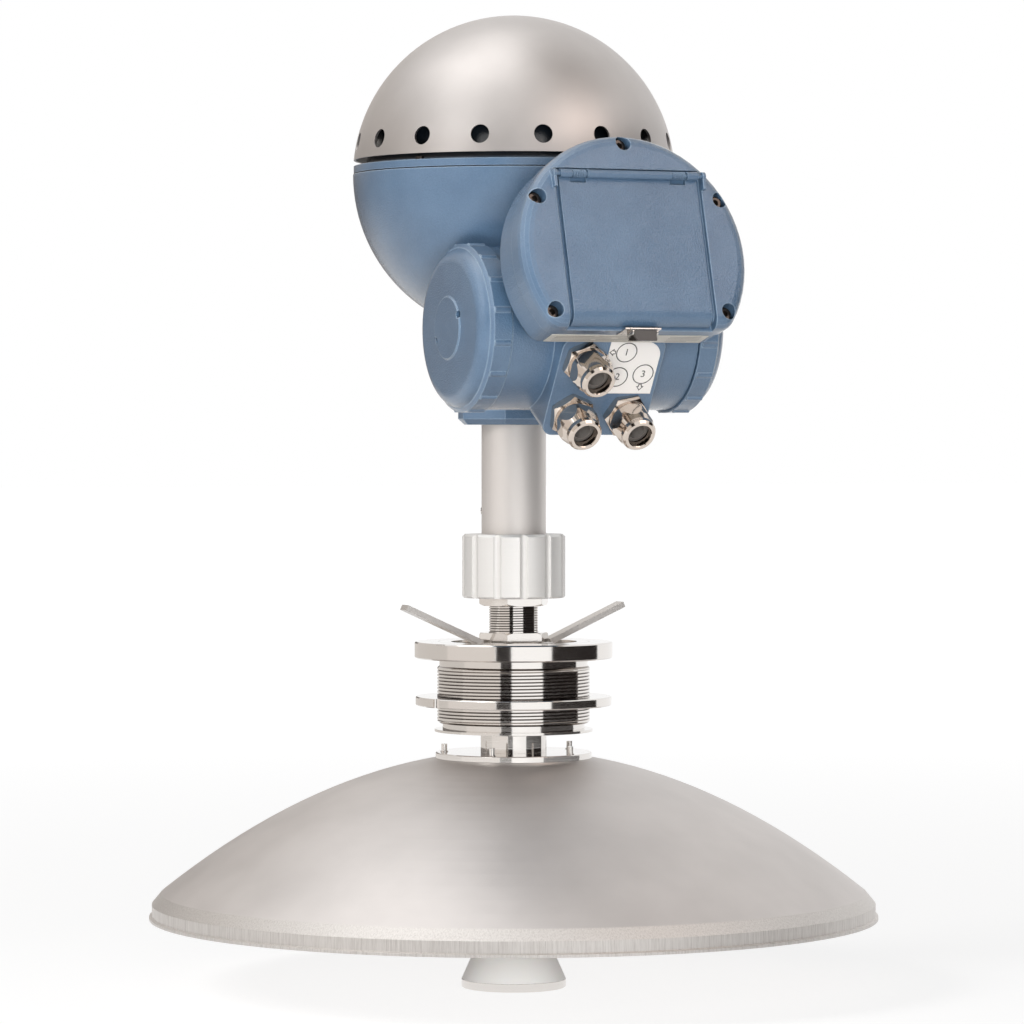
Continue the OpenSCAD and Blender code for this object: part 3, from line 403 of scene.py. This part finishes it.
def spun_steel(band_top):
    """Stainless sheet spun over a form and brushed: soft rings, clouded by handling, and a rim band up to
    `band_top` whose brushing runs across it."""
    m, tree, shader = material("spun_stainless", "#d0cbc8", 1.0, 0.5)
    spot = place(tree)
    rings, z = turned_place(tree, spot), from_axis(tree, spot)[1]
    lines = grain(tree, 1.1, rings, 3.0)
    cloud = grain(tree, 55, spot, 4.0)
    across = add(tree, "ShaderNodeMapping", {"Scale": (1.0, 1.0, 0.05)}, {"Vector": spot})
    streak = grain(tree, 0.9, across.outputs[0], 5.0, Roughness=0.75)
    on_band = add(tree, "ShaderNodeMapRange", {"From Min": band_top - 0.0006, "From Max": band_top + 0.0006,
                                              "To Min": 1.0, "To Max": 0.0}, {"Value": z})
    pattern = add(tree, "ShaderNodeMix", {"data_type": "FLOAT"},
                  {0: on_band.outputs[0], 2: lines, 3: streak})
    sheet = ramp(tree, cloud, (0.3, "#cac5c2"), (0.7, "#d5d0cd"))
    band = ramp(tree, streak, (0.25, "#bdb7b3"), (0.5, "#d6d2ce"), (0.8, "#e6e2df"))
    colour = add(tree, "ShaderNodeMix", {"data_type": "RGBA"}, {0: on_band.outputs[0], 6: sheet, 7: band})
    tree.links.new(colour.outputs[2], shader.inputs["Base Color"])
    rough_between(tree, shader, cloud, 0.46, 0.56)
    bumped(tree, shader, pattern.outputs[0], 0.05, 0.3, 0.35)
    return m


def blasted_steel():
    """Stainless sheet blasted with glass beads: an even silk sheen, with a grain as fine as flour."""
    m, tree, shader = material("blasted_stainless", "#c2bdba", 1.0, 0.46)
    spot = place(tree)
    tree.links.new(ramp(tree, grain(tree, 40, spot, 4.0), (0.3, "#bdb8b5"), (0.7, "#c6c1be")),
                   shader.inputs["Base Color"])
    rough_between(tree, shader, grain(tree, 30, spot), 0.43, 0.5)
    bumped(tree, shader, grain(tree, 0.9, spot), 0.02, 0.2, 0.4)
    return m


def drawn_steel():
    """Stainless pipe, ground dull: long fine lines along it and a matt grey sheen."""
    m, tree, shader = material("ground_stainless", "#e2ddd9", 0.85, 0.5)
    spot = place(tree)
    along = add(tree, "ShaderNodeMapping", {"Scale": (1.0, 1.0, 0.04)}, {"Vector": spot})
    lines = grain(tree, 0.7, along.outputs[0], 3.0)
    rough_between(tree, shader, lines, 0.46, 0.56)
    bumped(tree, shader, lines, 0.02, 0.3, 0.4)
    return m


def plated_brass():
    """Nickel plate on turned brass: a warm mirror that shows faint tool marks."""
    m, tree, shader = material("nickel_plate", "#d4c8bd", 1.0, 0.1)
    marks = grain(tree, 0.8, place(tree), 3.0)
    rough_between(tree, shader, marks, 0.06, 0.14)
    bumped(tree, shader, marks, 0.012, 0.35, 0.5)
    return m


def plastic(name, code, roughness, size, depth, edge=0.3, **sockets):
    """Moulded or milled plastic, rubber or laminate: one tone with a fine skin texture."""
    m, tree, shader = material(name, code, 0.0, roughness, **sockets)
    skin = grain(tree, size, place(tree), 3.0)
    rough_between(tree, shader, skin, roughness * 0.85, min(1.0, roughness * 1.2))
    bumped(tree, shader, skin, depth, edge, 0.5)
    return m


# Each finish is given by its name, its colour, its roughness, and the size and the depth of its relief in millimetres
BAND_HEIGHT = 0.0155  # of the dish's rim
HOOD_SHADE_LIFT = 0.0052  # of the painted shade on the lid, above the bowl's gasket
blue_enamel = enamel("stoved_enamel", 0.9)
sheet_enamel = enamel("sheet_enamel", 0.5, 0.45)
# The lid's enamel turns to painted shade above its flange, under the hood.
lid_enamel_painted_shade = enamel("lid_enamel_painted_shade", 0.6, 0.2, float(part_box("bowl_gasket")[1].z) + HOOD_SHADE_LIFT)
mirror_steel = turned_steel("turned_stainless", "#e4e0dc", 0.09, 0.8, 0.012)
pale_steel = turned_steel("electropolished_casting", "#e3e1de", 0.44, 1.5, 0.02, 0.6, 0.6)
machined_steel = turned_steel("machined_stainless", "#cfccc8", 0.2, 0.6, 0.02)
pressed_steel = turned_steel("pressed_stainless", "#dedad6", 0.36, 2.0, 0.02, 0.3)
# Screws in deep pockets and in the gap under the hood: their near-black colour is painted shade of the pockets and the
# gap.
screw_shade_steel = turned_steel("screw_steel_painted_shade", "#4a4440", 0.14, 0.5, 0.02, 0.2)
spun_stainless = spun_steel(float(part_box("dish")[0].z) + BAND_HEIGHT)
blasted_stainless = blasted_steel()
ground_stainless = drawn_steel()
nickel_plate = plated_brass()
machined_aluminium = turned_steel("machined_aluminium", "#c9ccd0", 0.3, 0.9, 0.02)
ptfe = plastic("milled_ptfe", "#f4f2ef", 0.42, 2.0, 0.02, 0.5, Subsurface_Weight=0.05)
black_rubber = plastic("black_rubber", "#1d1c1c", 0.68, 1.2, 0.05)
grey_rubber = plastic("grey_neoprene", "#7d7874", 0.5, 1.2, 0.05)
grey_nylon = plastic("dark_grey_nylon", "#4c4846", 0.42, 0.9, 0.03, 0.5)
terminal_resin = plastic("terminal_resin", "#3d4a42", 0.5, 1.0, 0.03)
laminate = plastic("polyester_laminate", "#f6f2ee", 0.36, 3.0, 0.01, 0.2)
aged_laminate = plastic("printed_laminate", "#d9d4ca", 0.4, 3.0, 0.01, 0.2)
ink = plastic("black_print", "#232122", 0.45, 1.0, 0.005, 0.0)
circuit = plastic("solder_resist", "#215238", 0.3, 2.0, 0.02)
lcd_glass = plastic("display_film", "#8f9b83", 0.12, 5.0, 0.004)
clear_pane = plastic("clear_pane", "#e8eeee", 0.05, 5.0, 0.003, 0.0, Transmission_Weight=1.0, IOR=1.5)

FINISH = {
    "dish": spun_stainless, "hood": blasted_stainless, "sleeve_pipe": ground_stainless,
    "display_flap": sheet_enamel, "head_lid": lid_enamel_painted_shade, "hinge_pin": sheet_enamel, "feed_cone": ptfe,
    "latch_clip": grey_nylon, "entry_label": laminate, "nameplate": aged_laminate, "display_board": circuit,
    "lcd_module": lcd_glass, "display_window": clear_pane, "transmitter_unit": machined_aluminium,
    "grip_nut": pale_steel, "hood_screw": machined_steel, "cover_screws": screw_shade_steel, "lid_screws": screw_shade_steel,
    "tab_washer": pressed_steel, "gland_seal_1": grey_rubber, "gland_seal_2": grey_rubber,
    "gland_seal_3": grey_rubber, "inner_waveguide": machined_steel, "latch_bracket": machined_steel,
}
BY_SLOT = {
    "cast_paint": blue_enamel, "steel_polished": mirror_steel, "steel_satin": ground_stainless,
    "nickel": nickel_plate, "rubber": black_rubber, "terminal": terminal_resin,
}
slot_of = {s["node"]: s["material_slot"] for s in frame["record"]["subparts"]}
for name, obj in nodes.items():
    finish = FINISH.get(name) or BY_SLOT[slot_of[name]]
    obj.data.materials.clear()
    obj.data.materials.append(finish)

# ---------------------------------------------------------------- threads


def welded(grid):
    """Triangles over a (rows, columns, 3) grid of points whose first and last columns, and first and last rows,
    fall on each other: equal points become one, and triangles with no width go."""
    rows, columns = grid.shape[:2]
    r, c = np.arange(rows)[:, None], np.arange(columns - 1)[None, :]
    r2 = (r + 1) % rows
    quads = np.stack([r * columns + c, r * columns + c + 1, r2 * columns + c + 1, r2 * columns + c], -1).reshape(-1, 4)
    flat = grid.reshape(-1, 3)
    _, first, same = np.unique(np.round(flat / 1e-7), axis=0, return_index=True, return_inverse=True)
    quads = same.reshape(-1)[quads]
    faces = np.concatenate([quads[:, [0, 1, 2]], quads[:, [0, 2, 3]]])
    a, b, d = faces.T
    faces = faces[(a != b) & (b != d) & (d != a)]
    points = flat[first]
    return points, outward(points, faces)


def threaded(outline, side, outer, low, high, pitch, depth, columns):
    """Turned piece with a right-hand thread on one of its sides, as welded triangles. The closed (distance, z)
    outline goes round the z axis. The thread lies on the side after outline[side]. Its rows are a flat crest,
    a flank, a root and a flank in each pitch, and each row climbs by one pitch a turn:
    z = low + pitch * (row + angle / turn), held between low and high. The depth fades out over one pitch at both
    ends."""
    angle = np.linspace(0, 2 * np.pi, columns + 1)[None, :]
    turns = np.arange(-1, math.ceil((high - low) / pitch) + 1)[:, None]
    crest_start, crest_end, root_start, root_end = 0.0, 0.55, 0.72, 0.83
    share = (turns + np.array([crest_start, crest_end, root_start, root_end])).reshape(-1, 1)
    bite = np.tile([0.0, 0.0, 1.0, 1.0], len(turns)).reshape(-1, 1)
    z = np.clip(low + pitch * (share + angle / (2 * np.pi)), low, high)
    r = outer - depth * bite * np.clip((z - low) / pitch, 0, 1) * np.clip((high - z) / pitch, 0, 1)
    if outline[side + 1][1] < outline[side][1]:
        z, r = z[::-1], r[::-1]
    plain = np.array(outline)[:, :, None] * np.ones((1, 1, columns + 1))
    z = np.concatenate([plain[:side + 1, 1], z, plain[side + 1:, 1]])
    r = np.concatenate([plain[:side + 1, 0], r, plain[side + 1:, 0]])
    turn = np.concatenate([angle[:, :-1], angle[:, :1]], 1)
    return welded(np.stack([r * np.cos(turn), r * np.sin(turn), z], -1) * MM)


# Waveguide tube, in millimetres: the thread starts above the flange and ends under the adapter
TUBE_WALL, TUBE_DEPTH = 3, 0.75
tube_box = [np.array(corner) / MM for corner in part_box("waveguide_tube")]
tube_low, tube_high, tube_r = float(tube_box[0][2]), float(tube_box[1][2]), float(tube_box[1][0])
tube_outline = [(tube_r, tube_low), (tube_r, tube_high), (tube_r - TUBE_WALL, tube_high),
                (tube_r - TUBE_WALL, tube_low)]
tube = shell("threaded_tube", *threaded(tube_outline, side=0, outer=tube_r, low=8.5, high=35.5, pitch=1.5,
                                        depth=TUBE_DEPTH, columns=96),
             "frame", thread_steel("threaded_tube_steel", tube_r, TUBE_DEPTH), "steel_satin")
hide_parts("waveguide_tube")

# Flange with its barrel, in millimetres: down the recess in the flange's top, round the flange, down the barrel
# and back up its bore to the tube
BARREL_R, BARREL_LOW, BARREL_DEPTH = 46.3, -39.0, 1.0
NECK_R, NECK_LOW = BARREL_R - 1.3, -4.5
NOSE_R, NOSE_LOW = BARREL_R - 3.3, BARREL_LOW - 3.7
BORE_R, BORE_TOP = BARREL_R - 8.5, -12
HUB_R, HUB_LOW = tube_r + 6, -8
RECESS_R, RECESS_DEPTH = 38, 2
RIM = 0.8
flange_r, flange_top = (float(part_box("flange_barrel")[1][k]) / MM for k in (0, 2))
recess_z = flange_top - RECESS_DEPTH
barrel_outline = [
    (tube_r, recess_z), (RECESS_R, recess_z), (RECESS_R, flange_top - 0.3), (RECESS_R + 0.3, flange_top),
    (flange_r - RIM, flange_top), (flange_r, flange_top - RIM), (flange_r, RIM), (flange_r - RIM, 0),
    (NECK_R, 0), (NECK_R, NECK_LOW), (BARREL_R, NECK_LOW - 1.2), (BARREL_R, BARREL_LOW + 1.2),
    (BARREL_R - 1.2, BARREL_LOW), (NOSE_R, BARREL_LOW), (NOSE_R, NOSE_LOW), (BORE_R, NOSE_LOW),
    (BORE_R, BORE_TOP), (BORE_R - 4, HUB_LOW), (HUB_R, HUB_LOW), (HUB_R, BORE_TOP), (tube_r, BORE_TOP)]
barrel = shell("threaded_barrel", *threaded(barrel_outline, side=10, outer=BARREL_R, low=-37.7, high=-5.9, pitch=2.0,
                                            depth=BARREL_DEPTH, columns=192),
               "frame", thread_steel("threaded_barrel_steel", BARREL_R, BARREL_DEPTH), "steel_polished")
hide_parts("flange_barrel")

# ---------------------------------------------------------------- display springs

TILT = math.radians(15.5)  # of the display, back from upright
DISPLAY = np.array([0, -172.4, 239.4])  # where the display's middle line meets its back plane, in millimetres
ACROSS = np.array([1.0, 0, 0])
UP = np.array([0, math.sin(TILT), math.cos(TILT)])
OUT = np.array([0, -math.cos(TILT), math.sin(TILT)])


def coil(name, node, radius=2.05, wire=0.42, turns=8, steps=28, sides=10):
    """Spring: a circle of radius `wire` carried along a helix about the line across the display that runs through
    the middle of the node's box. Closed by a cap ring of next to no width at each end."""
    low, high = (np.array(v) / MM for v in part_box(node))
    centre, length = (low + high) / 2, high[0] - low[0] - 2 * wire
    t = np.linspace(0, 1, turns * steps + 1)[:, None, None]
    a = 2 * np.pi * turns * t
    b = np.linspace(0, 2 * np.pi, sides, endpoint=False)[None, :, None]
    w = np.full_like(t, wire)
    w[0] = w[-1] = 1e-4
    out = radius + w * np.cos(b)
    grid = centre + ACROSS * (length * (t - 0.5) + w * np.sin(b)) + (UP * np.cos(a) + OUT * np.sin(a)) * out
    points = (grid * MM).reshape(-1, 3)
    r, c = np.arange(len(t) - 1)[:, None] * sides, np.arange(sides)[None, :]
    c2 = (c + 1) % sides
    faces = np.stack([r + c, r + c2, r + sides + c2, r + sides + c], -1).reshape(-1, 4)
    piece = shell(name, points, outward(points, faces), "frame", sheet_enamel, "steel_polished", sharp=80)
    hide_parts(node)


coil("left_coil", "left_spring")
coil("right_coil", "right_spring")

# ---------------------------------------------------------------- printed marks

PAD_TILT = math.radians(32)  # of the cable pad, its face turned down
PAD = np.array([0, -119.4, 147.4])  # where the pad's middle line meets its face, in millimetres
PAD_UP = np.array([0, -math.sin(PAD_TILT), math.cos(PAD_TILT)])
PAD_OUT = np.array([0, -math.cos(PAD_TILT), -math.sin(PAD_TILT)])
PRINT_HEIGHT = 0.43  # of the ink over the pad, in millimetres: just clear of the label


def on_pad(flat):
    """Points given across and up the cable pad, in millimetres, laid on its label."""
    return (PAD + flat[:, :1] * ACROSS + flat[:, 1:2] * PAD_UP + PRINT_HEIGHT * PAD_OUT) * MM


def band(name, inner, outer):
    """Flat printed band between two closed outlines of as many points."""
    k = np.arange(len(inner))
    n = (k + 1) % len(inner)
    faces = np.stack([k, len(inner) + k, len(inner) + n, n], -1)
    shell(name, on_pad(np.concatenate([inner, outer])), faces, "frame", ink, "label")


def printed_ring(centre, radius, width, name, steps=64):
    """Circle drawn with a line of one width."""
    a = np.linspace(0, 2 * np.pi, steps, endpoint=False)[:, None]
    around = np.concatenate([np.cos(a), np.sin(a)], 1)
    band(name, centre + (radius - width / 2) * around, centre + (radius + width / 2) * around)


def digit(text, centre, size, name):
    """A bare number, set flat on the pad as a mesh."""
    curve = bpy.data.curves.new(name, "FONT")
    curve.body, curve.size, curve.align_x, curve.align_y = text, size * MM, "CENTER", "CENTER"
    curve.resolution_u = 4
    source = bpy.data.objects.new(name + "_curve", curve)
    bpy.context.scene.collection.objects.link(source)
    bpy.context.view_layer.update()
    mesh = bpy.data.meshes.new_from_object(source.evaluated_get(bpy.context.evaluated_depsgraph_get()))
    bpy.data.objects.remove(source)
    flat = np.empty(len(mesh.vertices) * 3)
    mesh.vertices.foreach_get("co", flat)
    flat = flat.reshape(-1, 3) / MM
    mesh.vertices.foreach_set("co", on_pad(flat[:, :2] + np.array(centre)).ravel())
    mesh.update()
    mesh.materials.clear()
    mesh.materials.append(ink)
    obj = bpy.data.objects.new(name, mesh)
    bpy.context.scene.collection.objects.link(obj)
    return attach(obj, "frame")


def arrow(centre, turn, name):
    """Outline of a block arrow, which starts at the centre given and points along `turn` degrees."""
    t = math.radians(turn)
    spin = np.array([[math.cos(t), math.sin(t)], [-math.sin(t), math.cos(t)]])
    outer = np.array([[0.0, 1.2], [1.3, 1.2], [1.3, 2.5], [4.2, 0], [1.3, -2.5], [1.3, -1.2], [0.0, -1.2]])
    inner = np.array([[0.55, 0.7], [1.8, 0.7], [1.8, 1.4], [3.45, 0], [1.8, -1.4], [1.8, -0.7], [0.55, -0.7]])
    band(name, inner @ spin + np.array(centre), outer @ spin + np.array(centre))


MARKS = [("1", (8.3, 41.5), 180), ("2", (6.4, 25.0), None), ("3", (22.4, 27.0), 270)]
RING_R, RING_LINE, ARROW_START, DIGIT_SIZE = 6.3, 0.62, 6.9, 6.4  # millimetres
for number, spot, way in MARKS:
    printed_ring(spot, RING_R, RING_LINE, "mark_ring_" + number)
    digit(number, spot, DIGIT_SIZE, "mark_" + number)
    if way is not None:
        t = math.radians(way)
        arrow((spot[0] + ARROW_START * math.cos(t), spot[1] + ARROW_START * math.sin(t)), way, "mark_arrow_" + number)

# Blank form on the rating plate, in millimetres: thin lines across it, by their distance out from its back edge,
# each cut into fields
PLATE_FACE, PLATE_BACK = -44.12, -33  # up and out from the display's point
HALF_LINE = 0.22
FIELDS = {10.6: [(-46, -22), (-19, 8), (26, 46)], 7.9: [(-46, -10), (-6, 10), (26, 46)],
          5.2: [(-46, -22), (-19, 8), (26, 46)], 2.5: [(-46, 10), (26, 40)]}
lines = np.array([[left, right, w - HALF_LINE, w + HALF_LINE] for w, row in FIELDS.items() for left, right in row])
flat = lines[:, [0, 2, 1, 2, 1, 3, 0, 3]].reshape(-1, 2)
points = (DISPLAY + flat[:, :1] * ACROSS + PLATE_FACE * UP + (PLATE_BACK + flat[:, 1:]) * OUT) * MM
shell("plate_rules", points, np.arange(len(points)).reshape(-1, 4), "frame", ink, "label")
